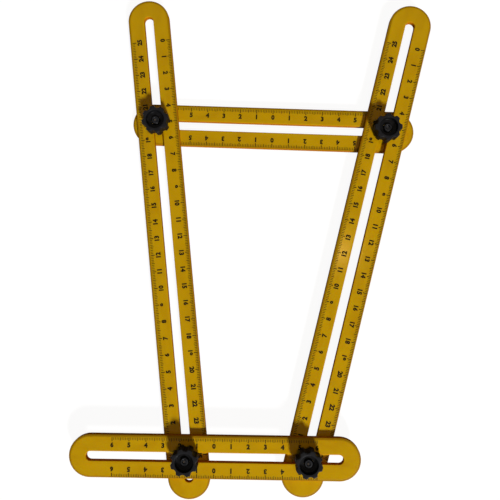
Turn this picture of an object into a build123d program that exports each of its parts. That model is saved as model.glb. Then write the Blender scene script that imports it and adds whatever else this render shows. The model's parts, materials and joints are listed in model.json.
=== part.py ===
"""Four-arm angle template: two long and two short slotted rulers, clamped where they cross.

The four rulers frame an open four-sided shape.  The base ruler lies in front of the two
long rulers, and the top ruler lies behind them.  At each corner a flat-headed bolt comes
through both slots from the back, its square neck keyed in the slot of the rear ruler, and
a lobed knob with a moulded-in nut clamps a washer against the front ruler.

Millimetres.  The template lies flat: +X runs along the base ruler, +Y from the base ruler
towards the top ruler, and +Z up through the knobs.  The origin is the centre of the
footprint, on the surface that the rear bolt heads rest on.
"""
from build123d import *
from math import atan2, cos, degrees, hypot, radians, sin
import os

# --- clearances ---------------------------------------------------------------------------
slide_gap = 0.1           # between pieces stacked on a bolt
shank_gap = 0.25          # each side, between a bolt's shank and a slot
neck_gap = 0.15           # each side, between a square neck and its slot
thread_gap = 0.05         # radial, between a bolt and its nut
hole_gap = 0.1            # radial, between a bolt and a washer or a knob

# --- rulers -------------------------------------------------------------------------------
long_scale = 250.0        # length of the scale on a long ruler
short_scale = 120.0       # length of the scale on a short ruler
scale_margin = 25.5       # bare length past the scale, at each end of a ruler
ruler_width = 25.0
ruler_thickness = 3.0
end_web = 10.0            # from a ruler's tip to the tip of its slot
bevel_width = 1.2         # shallow bevel round the front face
bevel_drop = 0.25         # how far the bevel falls to the ruler's side
ruler_edge_round = 0.25

# --- clamps -------------------------------------------------------------------------------
bolt_diameter = 5.0
bolt_standout = 1.1       # of the bolt's end, above the floor of the knob's well
bolt_end_chamfer = 0.45
cup_diameter = 2.8        # hollow in the end of a bolt
cup_depth = 1.4
cup_cone_depth = 0.6
head_diameter = 12.0
head_thickness = 1.5
head_edge_round = 0.5
neck_short = 0.6          # from the end of the square neck to the rear ruler's front face
neck_corner_round = 1.4

washer_diameter = 10.0
washer_thickness = 1.0

nut_across_flats = 8.0
nut_height = 2.7
nut_chamfer = 0.4

knob_diameter = 16.0      # over the lobes
knob_height = 6.5
lobe_count = 8
scallop_depth = 1.3       # how far a hollow between two lobes cuts in
scallop_radius = 2.0
lobe_round = 0.8
knob_top_round = 0.45
knob_foot_round = 0.3
recess_diameter = 10.7    # round well in the top of a knob, around the bolt's end
recess_floor = 0.8        # plastic left between the well and the nut

# --- the shape that the rulers frame, between clamp axes -----------------------------------
base_side = 70.9
left_side = 199.3
right_side = 199.3
left_angle = 95.8         # of the left long ruler, from the base ruler
right_angle = 76.63       # of the right long ruler, from the base ruler
base_left_reach = 69.2    # from the base ruler's left tip to the lower left clamp
left_foot = 25.9          # from the left long ruler's lower tip to its lower clamp
right_foot = 23.9         # from the right long ruler's lower tip to its lower clamp
top_left_reach = 15.8     # from the top ruler's left tip to the upper left clamp
knob_turns = {            # direction of one lobe of each knob, from +X
    "lower_left": 18.0,
    "lower_right": 29.0,
    "upper_left": 13.5,
    "upper_right": 0.0,
}

# --- heights, from the back ---------------------------------------------------------------
level_step = ruler_thickness + slide_gap
top_level = head_thickness + slide_gap       # back of the top ruler
long_level = top_level + level_step          # back of both long rulers
base_level = long_level + level_step         # back of the base ruler

long_length = long_scale + 2 * scale_margin
short_length = short_scale + 2 * scale_margin
slot_width = bolt_diameter + 2 * shank_gap
neck_height = slide_gap + ruler_thickness - neck_short
bolt_length = (2 * level_step + 2 * slide_gap + washer_thickness
               + nut_height + recess_floor + bolt_standout)


def step(start, distance, angle):
    """The point at a distance from start, in the direction of an angle in degrees."""
    return (start[0] + distance * cos(radians(angle)), start[1] + distance * sin(radians(angle)))


def axis_points():
    """Clamp axes, with the lower left one at (0, 0) and the base ruler along +X."""
    lower_left = (0.0, 0.0)
    lower_right = (base_side, 0.0)
    return {
        "lower_left": lower_left,
        "lower_right": lower_right,
        "upper_left": step(lower_left, left_side, left_angle),
        "upper_right": step(lower_right, right_side, right_angle),
    }


def ruler_layout():
    """Each ruler's length, level, direction in degrees and middle, before it is centred."""
    axes = axis_points()
    left, right = axes["upper_left"], axes["upper_right"]
    top_angle = degrees(atan2(right[1] - left[1], right[0] - left[0]))
    return {
        "base_short_ruler": (short_length, base_level, 0.0,
                             step(axes["lower_left"], short_length / 2 - base_left_reach, 0.0)),
        "left_long_ruler": (long_length, long_level, left_angle,
                            step(axes["lower_left"], long_length / 2 - left_foot, left_angle)),
        "right_long_ruler": (long_length, long_level, right_angle,
                             step(axes["lower_right"], long_length / 2 - right_foot, right_angle)),
        "top_short_ruler": (short_length, top_level, top_angle,
                            step(left, short_length / 2 - top_left_reach, top_angle)),
    }


def footprint_centre():
    """Middle of the footprint: the rulers' round ends reach furthest on every side."""
    xs, ys = [], []
    for length, _, angle, middle in ruler_layout().values():
        for side in (-1, 1):
            x, y = step(middle, side * (length - ruler_width) / 2, angle)
            xs += [x - ruler_width / 2, x + ruler_width / 2]
            ys += [y - ruler_width / 2, y + ruler_width / 2]
    return ((min(xs) + max(xs)) / 2, (min(ys) + max(ys)) / 2)


def clamp_layout():
    """Each clamp's axis, the ruler that its neck is keyed in, and the height of its head."""
    axes = axis_points()
    rear = {
        "lower_left": "left_long_ruler",
        "lower_right": "right_long_ruler",
        "upper_left": "top_short_ruler",
        "upper_right": "top_short_ruler",
    }
    rulers = ruler_layout()
    clamps = {}
    for corner, axis in axes.items():
        _, level, angle, _ = rulers[rear[corner]]
        clamps[corner] = (axis, angle, level - slide_gap - head_thickness)
    return clamps


def slotted_ruler(length):
    """Flat ruler with round ends and one long slot, centred, lying on z = 0 along X."""
    with BuildPart() as ruler:
        with BuildSketch():
            SlotOverall(length, ruler_width)
        extrude(amount=ruler_thickness)
        front = ruler.faces().sort_by(Axis.Z)[-1]
        chamfer(front.edges(), bevel_width, bevel_drop, reference=front)
        levels = ruler.edges().filter_by(GeomType.LINE).group_by(Axis.Z)
        shoulder_height = levels[-2][0].center().Z
        sides = ruler.edges().filter_by_position(Axis.Z, 0, shoulder_height)
        fillet(sides - sides.filter_by(Axis.Z), ruler_edge_round)
        with BuildSketch():
            SlotOverall(length - 2 * end_web, slot_width)
        extrude(amount=ruler_thickness, mode=Mode.SUBTRACT)
        flats = ruler.faces().filter_by(Axis.Z)
        fillet([edge for flat in flats for wire in flat.inner_wires() for edge in wire.edges()],
               ruler_edge_round)
    return ruler.part


def clamp_bolt():
    """Round-headed bolt, standing on its head at z = 0, with its square neck along X."""
    neck_side = slot_width - 2 * neck_gap
    end = head_thickness + bolt_length
    with BuildPart() as bolt:
        Cylinder(head_diameter / 2, head_thickness, align=(Align.CENTER, Align.CENTER, Align.MIN))
        fillet(bolt.faces().sort_by(Axis.Z)[0].edges(), head_edge_round)
        with BuildSketch(Plane.XY.offset(head_thickness)):
            RectangleRounded(neck_side, neck_side, neck_corner_round)
        extrude(amount=neck_height)
        with BuildSketch(Plane.XY.offset(head_thickness)):
            Circle(bolt_diameter / 2)
        extrude(amount=bolt_length)
        chamfer(bolt.faces().sort_by(Axis.Z)[-1].edges(), bolt_end_chamfer)
        with Locations((0, 0, end)):
            Cylinder(cup_diameter / 2, cup_depth, align=(Align.CENTER, Align.CENTER, Align.MAX),
                     mode=Mode.SUBTRACT)
        with Locations((0, 0, end - cup_depth)):
            Cone(0, cup_diameter / 2, cup_cone_depth,
                 align=(Align.CENTER, Align.CENTER, Align.MAX), mode=Mode.SUBTRACT)
    return bolt.part


def flat_washer():
    """Washer lying on z = 0."""
    with BuildPart() as washer:
        with BuildSketch():
            Circle(washer_diameter / 2)
            Circle(bolt_diameter / 2 + hole_gap, mode=Mode.SUBTRACT)
        extrude(amount=washer_thickness)
    return washer.part


def hex_nut():
    """Nut that the knob is moulded around, lying on z = 0 with its corners broken."""
    corner_radius = nut_across_flats / 2 / cos(radians(30))
    with BuildPart() as nut:
        with BuildSketch():
            RegularPolygon(corner_radius, 6)
        extrude(amount=nut_height)
        with BuildPart(mode=Mode.INTERSECT):
            Cylinder(corner_radius, nut_height, align=(Align.CENTER, Align.CENTER, Align.MIN))
            chamfer(faces().sort_by(Axis.Z)[-1].edges(), nut_chamfer)
        with BuildSketch():
            Circle(bolt_diameter / 2 + thread_gap)
        extrude(amount=nut_height, mode=Mode.SUBTRACT)
    return nut.part


def lobed_outline():
    """Outline of a knob: a disc with a round hollow between each two lobes."""
    hollow_centre = knob_diameter / 2 - scallop_depth + scallop_radius
    with BuildSketch() as outline:
        Circle(knob_diameter / 2)
        with PolarLocations(hollow_centre, lobe_count, start_angle=180 / lobe_count):
            Circle(scallop_radius, mode=Mode.SUBTRACT)
        fillet(outline.vertices(), lobe_round)
    return outline.sketch


def lobed_knob():
    """Knob standing on z = 0, with a pocket for the nut below and a well above."""
    well_depth = knob_height - nut_height - recess_floor
    with BuildPart() as knob:
        add(lobed_outline())
        extrude(amount=knob_height)
        fillet(knob.faces().sort_by(Axis.Z)[-1].edges(), knob_top_round)
        chamfer(knob.faces().sort_by(Axis.Z)[0].edges(), knob_foot_round)
        with BuildSketch(Plane.XY.offset(knob_height)):
            Circle(recess_diameter / 2)
        extrude(amount=-well_depth, mode=Mode.SUBTRACT)
        with BuildSketch():
            RegularPolygon(nut_across_flats / 2 / cos(radians(30)), 6)
        extrude(amount=nut_height, mode=Mode.SUBTRACT)
        with BuildSketch():
            Circle(bolt_diameter / 2 + hole_gap)
        extrude(amount=knob_height, mode=Mode.SUBTRACT)
    return knob.part


def clamp_pieces(corner, slot_angle, head_height):
    """The pieces of one clamp on their own axis, each with the height and angle it stands at."""
    front_face = head_height + head_thickness + 2 * level_step
    washer_height = front_face + slide_gap
    knob_base = washer_height + washer_thickness + slide_gap
    knob_angle = knob_turns[corner]
    return {
        f"{corner}_bolt": (clamp_bolt(), head_height, slot_angle),
        f"{corner}_washer": (flat_washer(), washer_height, slot_angle),
        f"{corner}_knob_nut": (hex_nut(), knob_base, knob_angle),
        f"{corner}_knob": (lobed_knob(), knob_base, knob_angle),
    }


def assembly():
    """Every piece in its place, by name."""
    centre_x, centre_y = footprint_centre()
    pieces = {}
    for name, (length, level, angle, middle) in ruler_layout().items():
        place = Pos(middle[0] - centre_x, middle[1] - centre_y, level) * Rot(0, 0, angle)
        pieces[name] = place * slotted_ruler(length)
    for corner, (axis, slot_angle, head_height) in clamp_layout().items():
        for name, (piece, height, angle) in clamp_pieces(corner, slot_angle, head_height).items():
            place = Pos(axis[0] - centre_x, axis[1] - centre_y, height) * Rot(0, 0, angle)
            pieces[name] = place * piece
    return pieces


def main():
    os.makedirs("parts", exist_ok=True)
    for name, piece in assembly().items():
        export_step(piece, os.path.join("parts", name + ".step"))


main()
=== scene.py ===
"""Looks of the four-arm angle template: moulded rulers with printed scales, clamp knobs and bolts."""
import json
from math import atan2, cos, hypot, pi, radians, sin, sqrt, tan

import bpy
from mathutils import Euler, Matrix, Vector


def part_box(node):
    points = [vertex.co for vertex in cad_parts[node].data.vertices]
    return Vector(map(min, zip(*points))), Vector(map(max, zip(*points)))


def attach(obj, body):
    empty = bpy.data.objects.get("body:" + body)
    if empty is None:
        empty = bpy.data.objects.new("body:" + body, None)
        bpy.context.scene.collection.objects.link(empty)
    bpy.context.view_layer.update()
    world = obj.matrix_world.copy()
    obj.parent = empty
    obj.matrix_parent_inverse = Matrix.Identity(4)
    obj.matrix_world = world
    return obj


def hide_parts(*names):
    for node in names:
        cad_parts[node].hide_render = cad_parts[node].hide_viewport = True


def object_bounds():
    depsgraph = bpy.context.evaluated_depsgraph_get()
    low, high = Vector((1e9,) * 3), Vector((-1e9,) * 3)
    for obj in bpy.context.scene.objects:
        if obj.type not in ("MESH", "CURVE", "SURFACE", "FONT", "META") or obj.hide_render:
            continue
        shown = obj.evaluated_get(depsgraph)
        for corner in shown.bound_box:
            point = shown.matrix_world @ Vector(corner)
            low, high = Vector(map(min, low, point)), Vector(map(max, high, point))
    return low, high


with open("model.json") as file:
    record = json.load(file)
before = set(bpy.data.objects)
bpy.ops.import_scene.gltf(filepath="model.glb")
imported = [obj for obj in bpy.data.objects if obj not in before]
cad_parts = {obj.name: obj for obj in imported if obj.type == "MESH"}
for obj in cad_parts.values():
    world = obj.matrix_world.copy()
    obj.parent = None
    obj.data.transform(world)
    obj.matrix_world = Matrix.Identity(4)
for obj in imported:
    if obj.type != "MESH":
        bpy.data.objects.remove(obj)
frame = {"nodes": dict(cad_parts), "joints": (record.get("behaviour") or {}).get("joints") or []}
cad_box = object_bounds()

MM = 0.001

# --- sizes of the real pieces, metres --------------------------------------------------------
RULER_WIDTH = 25.0 * MM
SLOT_WIDTH = 5.5 * MM
END_WEB = 10.0 * MM           # from a ruler's tip to its slot
SCALE_MARGIN = 25.5 * MM      # from a ruler's tip to its scale
EDGE_ROUND = 0.25 * MM
BEVEL_WIDTH = 1.2 * MM
BEVEL_DROP = 0.25 * MM
BEVEL_BLEND = 0.1 * MM        # each side of the line where the bevel meets the face
BEVEL_BLEND_DROP = 0.03 * MM
RIM_FADE = 0.8 * MM           # from that line to where the face has its own colour
SLOT_BORDER = 1.0 * MM        # strip of flat face round the slot
ARC_STEPS = 28                # along each round end of a ruler's outline
RUN_STEPS = 40                # along each straight side

PRINT_DEPTH = 0.02 * MM       # ink below the ruler's face
PRINT_PROUD = 0.03 * MM       # and above it
PRINT_SHIFT = -0.4 * MM       # of both scales together, across the ruler
TICK_START = 1.1 * MM         # from the ruler's edge
TICK_LENGTHS = {1: 1.5 * MM, 5: 1.85 * MM, 10: 2.25 * MM}
TICK_WIDTHS = {1: 0.30 * MM, 5: 0.36 * MM, 10: 0.46 * MM}
DIGIT_START = 3.95 * MM       # from the ruler's edge to the tops of the digits
DIGIT_HEIGHT = 3.0 * MM
DIGIT_BOLD = 0.24 * MM
DIGIT_STEPS = 3               # along each curve of a digit
FONT_DIGIT_HEIGHT = 0.73      # of Blender's own font, at size 1
LAST_NUMBER = 25              # that any of the scales shows
SHORT_SCALE = 200             # in millimetres: a shorter scale has its zero in the middle

KNOB_RADIUS = 8.0 * MM
KNOB_FOOT = 0.3 * MM          # chamfer
KNOB_CROWN = 0.45 * MM        # rounding
LOBES = 8
LOBE_STEPS = 24
LOBE_BLEND = 0.35 * MM        # softening where a scallop meets the outer circle
SCALLOP_DEPTH = 1.3 * MM
SCALLOP_RADIUS = 2.0 * MM
WELL_RADIUS = 5.35 * MM
WELL_DEPTH = 3.0 * MM
WELL_LIP = 0.3 * MM
WELL_TAPER = 0.05 * MM
WELL_FILLET = 0.5 * MM
NUT_HEIGHT = 2.7 * MM
NUT_APOTHEM = 4.0 * MM
HOLE_RADIUS = 2.6 * MM
HOLE_FLARE = 0.25 * MM
HOLE_FLARE_DEPTH = 0.2 * MM

BOLT_RADIUS = 2.5 * MM
BOLT_STEPS = 64
THREAD_PITCH = 0.8 * MM
THREAD_DEPTH = 0.22 * MM
THREAD_CREST = 0.03 * MM      # of the thread below the bolt's own radius
THREAD_ROWS = 8               # rings in one pitch
THREAD_START = 0.2            # of the thread's depth, beside the neck
HEAD_RADIUS = 6.0 * MM
HEAD_THICKNESS = 1.5 * MM
HEAD_CROWN = 0.5 * MM
HEAD_LIP = 0.15 * MM
HEAD_HUB = 0.3 * MM           # radius of the flat middle that closes the head
NECK_HEIGHT = 2.5 * MM
NECK_HALF = 2.6 * MM
NECK_ROUND = 1.4 * MM
NECK_STEP = 0.1 * MM          # from the bolt's radius in to the thread's start
NECK_GAP = 0.05 * MM
TIP_CHAMFER = 0.45 * MM
CUP_RADIUS = 1.4 * MM
CUP_DEPTH = 1.4 * MM
CUP_CONE = 0.6 * MM
CUP_LIP = 0.1 * MM

WASHER_STEPS = 72
WASHER_ROUND = 0.2 * MM
WASHER_BURR = 0.05 * MM       # chamfer on its other side

# --- shares of the paler or darker colour at moulded edges (a painted highlight on knobs, a painted shade on the rulers' walls) ---
LOWER_EDGE_WALL = 0.6
UPPER_EDGE_WALL = 0.8
BEVEL_RIM = 0.75
BEVEL_END_RIM = 0.15
# the knobs' rims: shares of their painted highlight
CROWN_RIMS = (0.35, 0.75)     # at the foot of the knob's crown, and at its top
LIP_RIM = 0.7

# --- colours, linear -----------------------------------------------------------------------------
YELLOWS = [(0.30, (0.440, 0.245, 0.0006)), (0.52, (0.485, 0.285, 0.0008)), (0.72, (0.515, 0.305, 0.0012))]
YELLOW_GRAIN = (0.415, 0.235, 0.0006)
YELLOW_RIM = (0.290, 0.155, 0.0008)
# painted shade: the walls' darker red-brown look in shade, with light glowing through the plastic
YELLOW_WALL_PAINTED_SHADE = (0.420, 0.130, 0.0010)
EDGE_ROUGHNESS = 0.85         # of the rulers' rims and walls
INKS = [(0.45, (0.013, 0.009, 0.004)), (0.78, (0.046, 0.029, 0.003))]
BLACKS = [(0.35, (0.0030, 0.0030, 0.0034)), (0.70, (0.0075, 0.0075, 0.0085))]
# painted highlight: the grey glint on the knobs' rounded rims and the well's lip
BLACK_RIM_PAINTED_GLINT = (0.014, 0.014, 0.016)
BOLT_GREYS = [(0.30, (0.010, 0.010, 0.011)), (0.70, (0.028, 0.028, 0.030))]
WASHER_GREYS = [(0.30, (0.40, 0.40, 0.39)), (0.70, (0.60, 0.60, 0.58))]
BRASSES = [(0.30, (0.42, 0.26, 0.07)), (0.70, (0.66, 0.45, 0.17))]

# --- the rulers and clamps in the frame ----------------------------------------------------------
# each ruler's node: its body, and the slide whose axis runs along it
RULERS = {
    "base_short_ruler": ("base_ruler", "lower_right_slide"),
    "left_long_ruler": ("left_ruler", "size_slide"),
    "right_long_ruler": ("right_ruler", "upper_right_slide"),
    "top_short_ruler": ("top_ruler", "top_ruler_slide"),
}
# each clamp: the direction of one lobe of its knob, degrees from +X, and the slide whose axis runs
# along the ruler that its bolt's square neck is keyed in
CLAMPS = {
    "lower_left": (18.0, "size_slide"),
    "lower_right": (29.0, "upper_right_slide"),
    "upper_left": (13.5, "top_ruler_slide"),
    "upper_right": (0.0, "top_ruler_slide"),
}

# --- the studio: metres, watts and radians -------------------------------------------------------
CAMERA_PLACE = (4.2 * MM, -10.5 * MM, 269.2 * MM)
CAMERA_TURN = (0.0312, 0.0207, 0.0074)     # about X, Y and Z, from looking straight down
CAMERA_LENS = 31.5                         # millimetres, as is the sensor's width
CAMERA_SENSOR = 36.0
CAMERA_NEAR = 0.01
KEY_ELEVATION = radians(34.5)
KEY_LEAN = radians(22.0)                   # of its shadows, from +Y towards -X
KEY_DISTANCE = 4.0
KEY_SIZE = 0.45
KEY_POWER = 213.0
GLINT_PLACE = (0.0525, -0.003, 0.0077)     # where the top light glints, on the right long ruler
TOP_DISTANCE = 0.9
TOP_SIZE = 0.035
TOP_POWER = 1.0
TOP_COLOUR = (1.0, 0.58, 0.15)
WHITE = (1.0, 1.0, 1.0)
WORLD_LEVEL = 0.09                         # its light on the object
WORLD_SHOWN = 1.0                          # and how bright it shows
FLOOR_SIZE = 3.0
FLOOR_GAP = 0.1 * MM
FLOOR_DIFFUSE = 0.10
FLOOR_GLOW = 0.94                          # its own light, where it shows


# --- shader nodes ----------------------------------------------------------------------------
def new_material(name, metallic=0.0):
    """A material, its nodes, its links and its shader."""
    made = bpy.data.materials.new(name)
    made.use_nodes = True
    nodes = made.node_tree.nodes
    shader = nodes["Principled BSDF"]
    shader.inputs["Metallic"].default_value = metallic
    return made, nodes, made.node_tree.links, shader


def noise(nodes, links, size, detail, stretch=(1.0, 1.0, 1.0)):
    """Noise whose features are about size metres across, in the piece's own coordinates."""
    coordinates = nodes.new("ShaderNodeTexCoord")
    mapping = nodes.new("ShaderNodeMapping")
    mapping.inputs["Scale"].default_value = stretch
    texture = nodes.new("ShaderNodeTexNoise")
    texture.inputs["Scale"].default_value = 1.0 / size
    texture.inputs["Detail"].default_value = detail
    links.new(coordinates.outputs["Object"], mapping.inputs["Vector"])
    links.new(mapping.outputs["Vector"], texture.inputs["Vector"])
    return texture.outputs["Fac"]


def ramp(nodes, links, factor, stops):
    """Colour ramp over (position, colour) stops."""
    made = nodes.new("ShaderNodeValToRGB")
    elements = made.color_ramp.elements
    while len(elements) < len(stops):
        elements.new(0.5)
    for element, (position, colour) in zip(elements, stops):
        element.position = position
        element.color = (*colour, 1.0)
    links.new(factor, made.inputs["Fac"])
    return made.outputs["Color"]


def mix(nodes, links, factor, first, second):
    """Mixes a socket's colour with a plain one, by a socket."""
    made = nodes.new("ShaderNodeMix")
    made.data_type = "RGBA"
    by, under, over = made.inputs[0], made.inputs[6], made.inputs[7]
    links.new(factor, by)
    links.new(first, under)
    over.default_value = (*second, 1.0)
    return made.outputs[2]


def fade(nodes, links, factor, first, second):
    """Mixes a socket's number with a plain one, by a socket."""
    made = nodes.new("ShaderNodeMix")
    by, under, over = made.inputs[0], made.inputs[2], made.inputs[3]
    links.new(factor, by)
    links.new(first, under)
    over.default_value = second
    return made.outputs[0]


def larger(nodes, links, first, second):
    """The larger of two sockets' numbers."""
    made = nodes.new("ShaderNodeMath")
    made.operation = "MAXIMUM"
    links.new(first, made.inputs[0])
    links.new(second, made.inputs[1])
    return made.outputs[0]


def scaled(nodes, links, value, low, high):
    """Maps 0..1 to low..high."""
    made = nodes.new("ShaderNodeMapRange")
    made.inputs["To Min"].default_value = low
    made.inputs["To Max"].default_value = high
    links.new(value, made.inputs["Value"])
    return made.outputs["Result"]


def bump(nodes, links, shader, height, distance, strength):
    """Bumps the shader's normal."""
    made = nodes.new("ShaderNodeBump")
    made.inputs["Distance"].default_value = distance
    made.inputs["Strength"].default_value = strength
    links.new(height, made.inputs["Height"])
    links.new(made.outputs["Normal"], shader.inputs["Normal"])


def attribute(nodes, name):
    """A number stored on the mesh's points."""
    made = nodes.new("ShaderNodeAttribute")
    made.attribute_name = name
    return made.outputs["Fac"]


def background_shows(nodes, links):
    """1 where a ray shows the pale background: seen, reflected or through something clear."""
    path = nodes.new("ShaderNodeLightPath")
    shows = path.outputs["Is Camera Ray"]
    for kind in ("Is Glossy Ray", "Is Transmission Ray"):
        shows = larger(nodes, links, shows, path.outputs[kind])
    return shows


# --- materials -------------------------------------------------------------------------------
def ruler_material():
    """Mustard yellow moulded plastic: faintly mottled, with a darker, duller rim, and duller walls with a
    painted shade, darker and redder as if lit through the plastic.
    """
    made, nodes, links, shader = new_material("ruler_plastic")
    shader.inputs["Specular IOR Level"].default_value = 0.05
    shader.inputs["Subsurface Weight"].default_value = 0.2
    shader.inputs["Subsurface Radius"].default_value = (1.0, 0.30, 0.02)
    shader.inputs["Subsurface Scale"].default_value = 2.5 * MM
    rim, wall = attribute(nodes, "rim"), attribute(nodes, "wall")
    blotches = noise(nodes, links, size=9.0 * MM, detail=4.0, stretch=(0.6, 1.4, 1.0))
    face = ramp(nodes, links, blotches, YELLOWS)
    grain = noise(nodes, links, size=0.55 * MM, detail=3.0)
    grained = mix(nodes, links, scaled(nodes, links, grain, low=0.0, high=0.35), face, YELLOW_GRAIN)
    rimmed = mix(nodes, links, rim, grained, YELLOW_RIM)
    # the walls get a painted shade, darker and redder as in shade lit through the plastic
    links.new(mix(nodes, links, wall, rimmed, YELLOW_WALL_PAINTED_SHADE), shader.inputs["Base Color"])
    polished = scaled(nodes, links, grain, low=0.12, high=0.18)
    dulled = fade(nodes, links, larger(nodes, links, rim, wall), polished, EDGE_ROUGHNESS)
    links.new(dulled, shader.inputs["Roughness"])
    bump(nodes, links, shader, grain, distance=0.006 * MM, strength=0.2)
    return made


def ink_material():
    """Black printing ink, a little thin in places."""
    made, nodes, links, shader = new_material("scale_ink")
    shader.inputs["Specular IOR Level"].default_value = 0.03
    wear = noise(nodes, links, size=1.6 * MM, detail=4.0)
    links.new(ramp(nodes, links, wear, INKS), shader.inputs["Base Color"])
    links.new(scaled(nodes, links, wear, low=0.38, high=0.58), shader.inputs["Roughness"])
    return made


def knob_material():
    """Black moulded plastic with a fine spark-eroded texture and paler edges, a painted highlight on its
    rims.
    """
    made, nodes, links, shader = new_material("knob_plastic")
    shader.inputs["Specular IOR Level"].default_value = 0.04
    mottled = ramp(nodes, links, noise(nodes, links, size=2.5 * MM, detail=4.0), BLACKS)
    # the rims get a painted highlight, paler where the rounded edges would glint
    glinted_rims = mix(nodes, links, attribute(nodes, "rim"), mottled, BLACK_RIM_PAINTED_GLINT)
    links.new(glinted_rims, shader.inputs["Base Color"])
    grain = noise(nodes, links, size=0.35 * MM, detail=2.0)
    links.new(scaled(nodes, links, grain, low=0.26, high=0.38), shader.inputs["Roughness"])
    bump(nodes, links, shader, grain, distance=0.02 * MM, strength=0.4)
    return made


def metal_material(name, stops, polished, dull):
    """Plated or plain metal with faint stains and a fine turned grain, between two roughnesses."""
    made, nodes, links, shader = new_material(name, metallic=1.0)
    stains = noise(nodes, links, size=2.0 * MM, detail=5.0)
    links.new(ramp(nodes, links, stains, stops), shader.inputs["Base Color"])
    grain = noise(nodes, links, size=0.4 * MM, detail=3.0, stretch=(1.0, 1.0, 5.0))
    links.new(scaled(nodes, links, grain, polished, dull), shader.inputs["Roughness"])
    bump(nodes, links, shader, grain, distance=0.015 * MM, strength=0.3)
    return made


def floor_material():
    """Pale floor: white where it shows, and still shaded where the template keeps light off it."""
    made = bpy.data.materials.new("floor")
    made.use_nodes = True
    nodes, links = made.node_tree.nodes, made.node_tree.links
    nodes.remove(nodes["Principled BSDF"])
    diffuse = nodes.new("ShaderNodeBsdfDiffuse")
    diffuse.inputs["Color"].default_value = (FLOOR_DIFFUSE, FLOOR_DIFFUSE, FLOOR_DIFFUSE, 1.0)
    glow = nodes.new("ShaderNodeEmission")
    glow.inputs["Strength"].default_value = FLOOR_GLOW
    none = nodes.new("ShaderNodeEmission")
    none.inputs["Strength"].default_value = 0.0
    chosen = nodes.new("ShaderNodeMixShader")
    links.new(background_shows(nodes, links), chosen.inputs["Fac"])
    links.new(none.outputs[0], chosen.inputs[1])
    links.new(glow.outputs[0], chosen.inputs[2])
    total = nodes.new("ShaderNodeAddShader")
    links.new(diffuse.outputs[0], total.inputs[0])
    links.new(chosen.outputs[0], total.inputs[1])
    links.new(total.outputs[0], nodes["Material Output"].inputs["Surface"])
    return made


# --- outlines and meshes ---------------------------------------------------------------------
def stadium(length, width):
    """Points round a long round-ended outline, anticlockwise, from the right end's lower corner."""
    radius = width / 2
    reach = length / 2 - radius
    points = []
    for side in (1, -1):
        for i in range(ARC_STEPS):
            angle = -pi / 2 + pi * i / ARC_STEPS
            points.append((side * (reach + radius * cos(angle)), side * radius * sin(angle)))
        for i in range(RUN_STEPS):
            points.append((side * (reach - 2 * reach * i / RUN_STEPS), side * radius))
    return points


def circle(radius, count):
    """Points round a circle."""
    return [(radius * cos(2 * pi * i / count), radius * sin(2 * pi * i / count)) for i in range(count)]


def polygon(apothem, sides, count):
    """Points round a regular polygon with a flat side's middle on +X."""
    points = []
    for i in range(count):
        angle = 2 * pi * i / count
        off = (angle + pi / sides) % (2 * pi / sides) - pi / sides
        points.append((apothem / cos(off) * cos(angle), apothem / cos(off) * sin(angle)))
    return points


def lobed(inset, count):
    """Points round the knob, inset from its edge, with a lobe on +X."""
    radius = KNOB_RADIUS - inset
    hollow = SCALLOP_RADIUS + inset
    centre = KNOB_RADIUS - SCALLOP_DEPTH + SCALLOP_RADIUS
    points = []
    for i in range(count):
        angle = 2 * pi * i / count
        off = angle % (2 * pi / LOBES) - pi / LOBES
        reach = radius
        if abs(centre * sin(off)) < hollow:
            near = centre * cos(off) - sqrt(hollow**2 - (centre * sin(off)) ** 2)
            apart = max(LOBE_BLEND * 2 - abs(near - radius), 0.0) / (LOBE_BLEND * 2)
            reach = min(near, radius) - apart**2 * LOBE_BLEND / 2
        points.append((reach * cos(angle), reach * sin(angle)))
    return points


def neck_outline(count):
    """Points round the bolt's square neck, whose corners are rounded."""
    points = []
    inner = NECK_HALF - NECK_ROUND
    for i in range(count):
        quarter, part = divmod(i, count // 4)
        angle = pi / 2 * (quarter + part / (count // 4))
        corner = pi / 2 * quarter + pi / 4
        x = inner * sqrt(2) * cos(corner) + NECK_ROUND * cos(angle)
        y = inner * sqrt(2) * sin(corner) + NECK_ROUND * sin(angle)
        points.append((x, y))
    return points


def rounded_profile(radius, steps):
    """(inset, drop) pairs round a quarter edge of a radius, from the side to the top."""
    pairs = []
    for i in range(steps + 1):
        angle = radians(90 * i / steps)
        pairs.append((radius * (1 - cos(angle)), radius * (1 - sin(angle))))
    return pairs


def lift(points, height):
    """The same points at a height."""
    return [(x, y, height) for x, y in points]


def loft(name, loops, values=None, capped=False):
    """Closed mesh through loops of equally many points.  It wraps round, or its ends are capped.
    values is a list of {attribute: number}, one for each loop."""
    count = len(loops[0])
    points = [p for loop in loops for p in loop]
    faces = []
    pairs = len(loops) - 1 if capped else len(loops)
    for i in range(pairs):
        a, b = i * count, (i + 1) % len(loops) * count
        for j in range(count):
            k = (j + 1) % count
            faces.append((a + j, a + k, b + k, b + j))
    if capped:
        faces.append(tuple(reversed(range(count))))
        faces.append(tuple(range(len(points) - count, len(points))))
    mesh = bpy.data.meshes.new(name)
    mesh.from_pydata(points, [], faces)
    for key in sorted({k for value in values or [] for k in value}):
        layer = mesh.attributes.new(key, "FLOAT", "POINT")
        for i, value in enumerate(values):
            for j in range(count):
                layer.data[i * count + j].value = value.get(key, 0.0)
    mesh.shade_smooth()
    mesh.set_sharp_from_angle(angle=radians(35.0))
    mesh.update()
    return mesh


def place(name, mesh, material, body, matrix, node=None):
    """Puts a piece into the scene on its body, and stands it for a CAD node."""
    piece = bpy.data.objects.new(name, mesh)
    bpy.context.scene.collection.objects.link(piece)
    piece.matrix_world = matrix
    mesh.materials.append(material)
    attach(piece, body)
    if node:
        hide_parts(node)
    return piece


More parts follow.
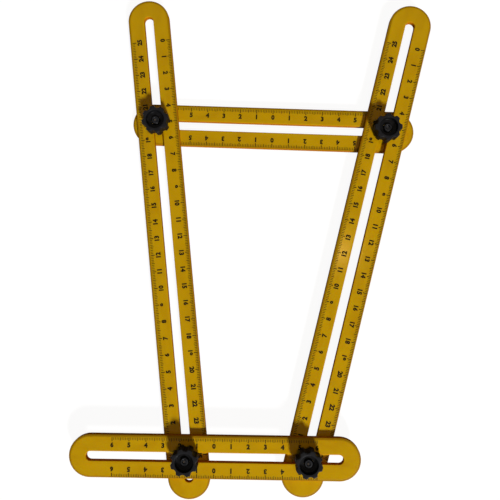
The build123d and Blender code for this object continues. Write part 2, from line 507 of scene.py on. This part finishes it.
# --- rulers ----------------------------------------------------------------------------------
def joint_turn(joint_name):
    """The direction of a slide in the plane of the rulers, radians from +X."""
    axis = next(j["axis"] for j in frame["joints"] if j["name"] == joint_name)
    return atan2(axis[1], axis[0])


def ruler_place(node, joint_name):
    """A ruler's matrix, with x along it and z = 0 on its back, its length and its thickness."""
    low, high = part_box(node)
    size = high - low
    middle = (low + high) / 2
    length = hypot(size.x - RULER_WIDTH, size.y - RULER_WIDTH) + RULER_WIDTH
    turn = Matrix.Rotation(joint_turn(joint_name), 4, "Z")
    return Matrix.Translation((middle.x, middle.y, low.z)) @ turn, length, size.z


def ruler_mesh(name, length, thickness):
    """Slotted ruler with a shallow bevel along its outline and softened edges."""
    loops, values = [], []

    def outer(inset, height, **value):
        loops.append(lift(stadium(length - 2 * inset, RULER_WIDTH - 2 * inset), height))
        values.append(value)

    def slot(inset, height, **value):
        loops.append(lift(stadium(length - 2 * END_WEB + 2 * inset, SLOT_WIDTH + 2 * inset), height))
        values.append(value)

    def edge_wall(inset):
        return max(0.0, UPPER_EDGE_WALL - inset / EDGE_ROUND)

    soft = rounded_profile(EDGE_ROUND, steps=4)
    for inset, drop in reversed(soft):
        outer(inset, drop, wall=LOWER_EDGE_WALL)
    outer(0, thickness / 2, wall=1.0)
    for inset, drop in soft:
        outer(inset, thickness - BEVEL_DROP - drop, wall=edge_wall(inset), rim=1.0)
    outer(BEVEL_WIDTH - BEVEL_BLEND, thickness - BEVEL_BLEND_DROP, rim=BEVEL_RIM)
    outer(BEVEL_WIDTH + BEVEL_BLEND, thickness, rim=BEVEL_END_RIM)
    outer(BEVEL_WIDTH + RIM_FADE, thickness)
    slot(SLOT_BORDER, thickness)
    for inset, drop in reversed(soft):
        slot(inset, thickness - drop, wall=edge_wall(inset))
    slot(0, thickness / 2, wall=1.0)
    for inset, drop in soft:
        slot(inset, drop, wall=LOWER_EDGE_WALL)
    slot(SLOT_BORDER, 0)
    return loft(name, loops, values)


def number_meshes(numbers):
    """Points and faces of each number's outline, DIGIT_HEIGHT tall, centred on x, its foot on y = 0."""
    made = {}
    for text in numbers:
        curve = bpy.data.curves.new("number", "FONT")
        curve.body = text
        curve.size = DIGIT_HEIGHT / FONT_DIGIT_HEIGHT
        curve.align_x = "CENTER"
        curve.offset = DIGIT_BOLD
        curve.extrude = (PRINT_PROUD + PRINT_DEPTH) / 2
        curve.resolution_u = DIGIT_STEPS
        holder = bpy.data.objects.new("number", curve)
        bpy.context.scene.collection.objects.link(holder)
        mesh = bpy.data.meshes.new_from_object(holder.evaluated_get(bpy.context.evaluated_depsgraph_get()))
        points = [v.co.copy() for v in mesh.vertices]
        low = min(p.y for p in points)
        middle = (min(p.x for p in points) + max(p.x for p in points)) / 2
        grow = DIGIT_HEIGHT / (max(p.y for p in points) - low)
        made[text] = (
            [Vector(((p.x - middle) * grow, (p.y - low) * grow, p.z)) for p in points],
            [tuple(face.vertices) for face in mesh.polygons],
        )
        bpy.data.objects.remove(holder)
        bpy.data.curves.remove(curve)
        bpy.data.meshes.remove(mesh)
    return made


def scale_marks(length):
    """Each tick's place in mm from the ruler's middle, with the mm that the scale reads there."""
    span = round((length - 2 * SCALE_MARGIN) / MM)
    half = round(span / 2)
    places = range(-half, half + 1)
    if span < SHORT_SCALE:
        return [(at, abs(at)) for at in places]
    return [(at, at + half) for at in places]


def scale_mesh(name, length, thickness, numbers):
    """Both printed scales of a ruler: ticks, and the number of each centimetre."""
    points, faces = [], []

    def add(corners, polygons, matrix):
        start = len(points)
        points.extend(matrix @ corner for corner in corners)
        faces.extend(tuple(start + i for i in face) for face in polygons)

    box_faces = [(0, 3, 2, 1), (4, 5, 6, 7), (0, 1, 5, 4), (1, 2, 6, 5), (2, 3, 7, 6), (3, 0, 4, 7)]
    edge = RULER_WIDTH / 2
    for row in (0.0, pi):
        turn = Matrix.Translation((0, PRINT_SHIFT, thickness)) @ Matrix.Rotation(row, 4, "Z")
        for at, reading in scale_marks(length):
            kind = 10 if reading % 10 == 0 else 5 if reading % 5 == 0 else 1
            half = TICK_WIDTHS[kind] / 2
            high = edge - TICK_START
            low = high - TICK_LENGTHS[kind]
            corners = [Vector((at * MM + x, y, z)) for z in (-PRINT_DEPTH, PRINT_PROUD)
                       for x, y in ((-half, low), (half, low), (half, high), (-half, high))]
            add(corners, box_faces, turn)
            if kind == 10:
                foot = (at * MM, edge - DIGIT_START - DIGIT_HEIGHT, (PRINT_PROUD - PRINT_DEPTH) / 2)
                corners, polygons = numbers[str(reading // 10)]
                add(corners, polygons, turn @ Matrix.Translation(foot))
    mesh = bpy.data.meshes.new(name)
    mesh.from_pydata(points, [], faces)
    mesh.update()
    return mesh


def make_rulers():
    """The four rulers and their printed scales."""
    plastic, ink = ruler_material(), ink_material()
    numbers = number_meshes([str(i) for i in range(LAST_NUMBER + 1)])
    for node, (body, joint_name) in RULERS.items():
        matrix, length, thickness = ruler_place(node, joint_name)
        place(node + "_moulding", ruler_mesh(node, length, thickness), plastic, body, matrix, node)
        place(node + "_scales", scale_mesh(node + "_scales", length, thickness, numbers), ink, body, matrix)


# --- clamps ----------------------------------------------------------------------------------
def knob_mesh(height):
    """Lobed knob with a round well on top, a hole through, and a hexagonal pocket below."""
    count = LOBES * LOBE_STEPS
    floor = height - WELL_DEPTH
    well_foot = WELL_RADIUS - WELL_TAPER
    low_rim, high_rim = CROWN_RIMS
    loops, values = [], []

    def add(points, level, **value):
        loops.append(lift(points, level))
        values.append(value)

    add(lobed(KNOB_FOOT, count), 0.0)
    add(lobed(0.0, count), KNOB_FOOT)
    add(lobed(0.0, count), height / 2)
    for inset, drop in rounded_profile(KNOB_CROWN, steps=5):
        add(lobed(inset, count), height - drop, rim=high_rim - (high_rim - low_rim) * drop / KNOB_CROWN)
    for inset, drop in reversed(rounded_profile(WELL_LIP, steps=4)):
        add(circle(WELL_RADIUS + inset, count), height - drop, rim=LIP_RIM * (1 - drop / WELL_LIP))
    add(circle(well_foot, count), floor + WELL_FILLET)
    for inset, drop in rounded_profile(WELL_FILLET, steps=4):
        add(circle(well_foot - inset, count), floor + drop)
    add(circle(HOLE_RADIUS + HOLE_FLARE, count), floor)
    add(circle(HOLE_RADIUS, count), floor - HOLE_FLARE_DEPTH)
    add(circle(HOLE_RADIUS, count), NUT_HEIGHT)
    add(polygon(NUT_APOTHEM, 6, count), NUT_HEIGHT)
    add(polygon(NUT_APOTHEM, 6, count), 0.0)
    return loft("knob", loops, values)


def thread_loops(low, high, count):
    """Rings whose radius follows a helical vee thread."""
    rows = round((high - low) / THREAD_PITCH * THREAD_ROWS)
    loops = []
    for row in range(rows + 1):
        height = low + (high - low) * row / rows
        fade_out = (high - height) / THREAD_PITCH
        fade_in = (height - low) / THREAD_PITCH + THREAD_START
        depth = THREAD_DEPTH * min(1.0, fade_out, fade_in)
        ring = []
        for i in range(count):
            phase = (height / THREAD_PITCH - i / count) % 1.0
            radius = BOLT_RADIUS - THREAD_CREST - depth * abs(2 * phase - 1)
            angle = 2 * pi * i / count
            ring.append((radius * cos(angle), radius * sin(angle), height))
        loops.append(ring)
    return loops


def bolt_mesh(length):
    """Flat-headed bolt with a square neck, a thread, a chamfered end and a cup in it."""
    neck_top = HEAD_THICKNESS + NECK_HEIGHT
    loops = []

    def ring(radius, height):
        loops.append(lift(circle(radius, BOLT_STEPS), height))

    ring(HEAD_HUB, 0.0)
    for inset, drop in reversed(rounded_profile(HEAD_CROWN, steps=5)):
        ring(HEAD_RADIUS - inset, drop)
    for inset, drop in rounded_profile(HEAD_LIP, steps=2):
        ring(HEAD_RADIUS - inset, HEAD_THICKNESS - drop)
    loops.append(lift(neck_outline(BOLT_STEPS), HEAD_THICKNESS))
    loops.append(lift(neck_outline(BOLT_STEPS), neck_top))
    ring(BOLT_RADIUS - NECK_STEP, neck_top)
    loops.extend(thread_loops(neck_top + NECK_GAP, length - TIP_CHAMFER, BOLT_STEPS))
    ring(BOLT_RADIUS - TIP_CHAMFER, length)
    ring(CUP_RADIUS + CUP_LIP, length)
    ring(CUP_RADIUS, length - CUP_LIP)
    ring(CUP_RADIUS, length - CUP_DEPTH)
    ring(CUP_LIP, length - CUP_DEPTH - CUP_CONE)
    return loft("bolt", loops, capped=True)


def washer_mesh(radius, thickness):
    """Stamped washer, rounded on the side it was punched from."""
    loops = []

    def ring(at, height):
        loops.append(lift(circle(at, WASHER_STEPS), height))

    soft = rounded_profile(WASHER_ROUND, steps=3)
    ring(radius - WASHER_BURR, 0.0)
    ring(radius, WASHER_BURR)
    for inset, drop in soft:
        ring(radius - inset, thickness - drop)
    for inset, drop in reversed(soft):
        ring(HOLE_RADIUS + inset, thickness - drop)
    ring(HOLE_RADIUS, WASHER_BURR)
    ring(HOLE_RADIUS + WASHER_BURR, 0.0)
    return loft("washer", loops)


def clamp_place(node, centre, turn):
    """A matrix at the foot of a clamp's piece, on the clamp's axis and turned about it, and its height."""
    low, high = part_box(node)
    matrix = Matrix.Translation((centre.x, centre.y, low.z)) @ Matrix.Rotation(turn, 4, "Z")
    return matrix, high.z - low.z


def make_clamps():
    """The four clamps: bolt, washer, knob and the nut in it."""
    plastic = knob_material()
    bolt_steel = metal_material("bolt_steel", BOLT_GREYS, polished=0.22, dull=0.40)
    washer_steel = metal_material("washer_steel", WASHER_GREYS, polished=0.26, dull=0.44)
    brass = metal_material("nut_brass", BRASSES, polished=0.24, dull=0.42)
    for corner, (lobe, rear_slide) in CLAMPS.items():
        low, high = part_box(corner + "_washer")
        centre = (low + high) / 2
        matrix, height = clamp_place(corner + "_washer", centre, 0.0)
        place(corner + "_washer_ring", washer_mesh((high.x - low.x) / 2, height), washer_steel,
              corner + "_carriage", matrix, corner + "_washer")
        matrix, height = clamp_place(corner + "_knob", centre, radians(lobe))
        place(corner + "_knob_moulding", knob_mesh(height), plastic, corner + "_grip", matrix,
              corner + "_knob")
        matrix, height = clamp_place(corner + "_bolt", centre, joint_turn(rear_slide))
        place(corner + "_bolt_turned", bolt_mesh(height), bolt_steel, corner + "_pivot", matrix,
              corner + "_bolt")
        nut = frame["nodes"][corner + "_knob_nut"]
        nut.data.materials.clear()
        nut.data.materials.append(brass)


# --- the studio ------------------------------------------------------------------------------
def make_camera():
    """The camera above the template."""
    data = bpy.data.cameras.new("camera")
    data.lens = CAMERA_LENS
    data.sensor_width = CAMERA_SENSOR
    data.clip_start = CAMERA_NEAR
    camera = bpy.data.objects.new("camera", data)
    bpy.context.scene.collection.objects.link(camera)
    camera.location = CAMERA_PLACE
    camera.rotation_euler = Euler(CAMERA_TURN)
    bpy.context.scene.camera = camera


def area_light(name, location, target, size, power, colour):
    """Square light at a place, facing a point."""
    light = bpy.data.lights.new(name, "AREA")
    light.size = size
    light.energy = power
    light.color = colour
    holder = bpy.data.objects.new(name, light)
    bpy.context.scene.collection.objects.link(holder)
    holder.location = location
    holder.rotation_euler = (Vector(target) - Vector(location)).to_track_quat("-Z", "Y").to_euler()


def make_lights():
    """A far key light, and a small warm one that the camera sees mirrored in the right long ruler."""
    centre = (cad_box[0] + cad_box[1]) / 2
    away = Vector((sin(KEY_LEAN), -cos(KEY_LEAN), tan(KEY_ELEVATION))).normalized()
    area_light("key", centre + KEY_DISTANCE * away, centre, KEY_SIZE, KEY_POWER, WHITE)
    glint = Vector(GLINT_PLACE)
    mirrored = (glint - Vector(CAMERA_PLACE)).reflect(Vector((0, 0, 1))).normalized()
    area_light("top", glint + TOP_DISTANCE * mirrored, glint, TOP_SIZE, TOP_POWER, TOP_COLOUR)


def make_world():
    """Even light from all round, white where it shows."""
    world = bpy.data.worlds.new("world")
    world.use_nodes = True
    bpy.context.scene.world = world
    nodes, links = world.node_tree.nodes, world.node_tree.links
    background = nodes["Background"]
    background.inputs["Color"].default_value = (*WHITE, 1.0)
    level = scaled(nodes, links, background_shows(nodes, links), WORLD_LEVEL, WORLD_SHOWN)
    links.new(level, background.inputs["Strength"])


def make_floor():
    """Floor under the template."""
    half = FLOOR_SIZE / 2
    level = cad_box[0].z - FLOOR_GAP
    corners = [(-half, -half), (half, -half), (half, half), (-half, half)]
    mesh = bpy.data.meshes.new("floor")
    mesh.from_pydata(lift(corners, level), [], [(0, 1, 2, 3)])
    mesh.materials.append(floor_material())
    floor = bpy.data.objects.new("floor", mesh)
    bpy.context.scene.collection.objects.link(floor)


bpy.context.scene.view_settings.view_transform = "Standard"
make_camera()
make_lights()
make_world()
make_floor()
make_rulers()
make_clamps()
